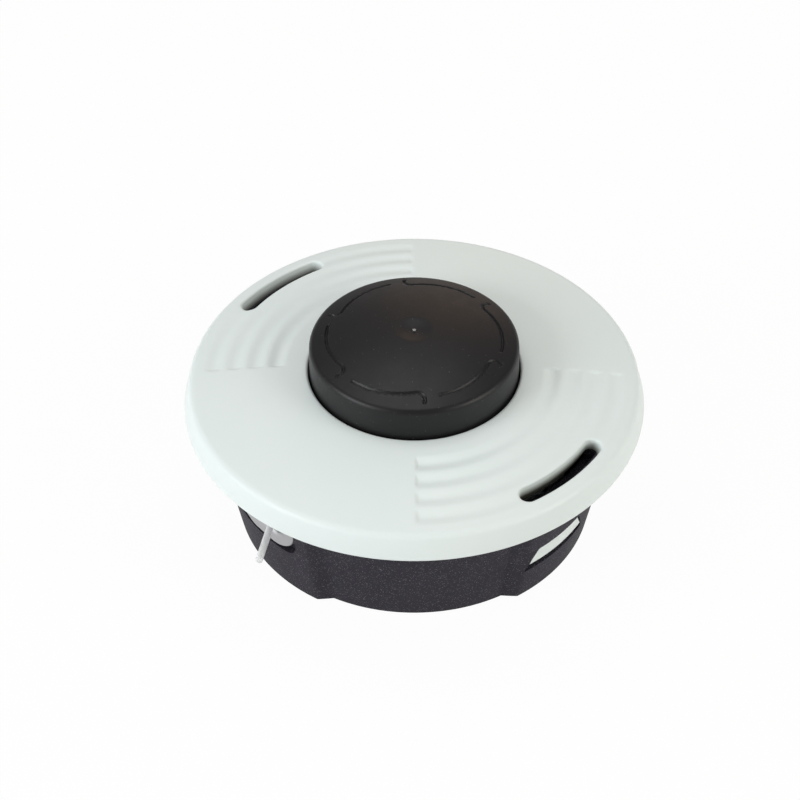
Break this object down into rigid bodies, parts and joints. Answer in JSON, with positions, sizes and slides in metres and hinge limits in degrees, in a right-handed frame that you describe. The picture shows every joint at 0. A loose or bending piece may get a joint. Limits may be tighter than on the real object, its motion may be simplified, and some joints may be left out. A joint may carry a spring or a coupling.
{
  "type": "bump feed trimmer head",
  "caption": "Round bump-feed string trimmer head: domed knob in a grooved lid over a lobed cup that holds a sprung line spool, with line ends leaving through metal eyelets.",
  "frame": {"origin": "centre of the housing's foot plane, on the drive axis", "axes": "+Z along the drive axis from the drive nut's mouth to the knob, -Y towards the viewer, +X to the right in the picture"},
  "size_m": [0.13, 0.13, 0.0614],
  "materials": {
    "housing": "dark grey glass-filled nylon, fine speckled texture",
    "cover": "natural white nylon, satin",
    "knob": "black nylon, fine matt grain",
    "spool": "black nylon",
    "eyelet": "matt grey metal",
    "steel": "plain steel",
    "line": "translucent whitish nylon line"
  },
  "bodies": {
    "housing": {"housing": "housing", "drive_nut": "steel", "eyelet_left": "eyelet", "eyelet_right": "eyelet", "spring": "steel", "cover": "cover", "line_end_left": "line", "line_end_right": "line"},
    "washer": {"thrust_washer": "steel"},
    "spool": {"spool": "spool", "line_winding": "line", "bump_knob": "knob"}
  },
  "joints": [
    {"name": "bump_press", "type": "slide", "parent": "housing", "child": "washer", "axis": [0, 0, -1], "range_m": [0, 0.006], "stiffness_N_per_m": 2500, "springref_m": -0.006, "deforming": ["spring"]},
    {"name": "spool_turn", "type": "hinge", "parent": "washer", "child": "spool", "pos_m": [0, 0, 0], "axis": [0, 0, 1], "range_deg": [0, 30]}
  ]
}
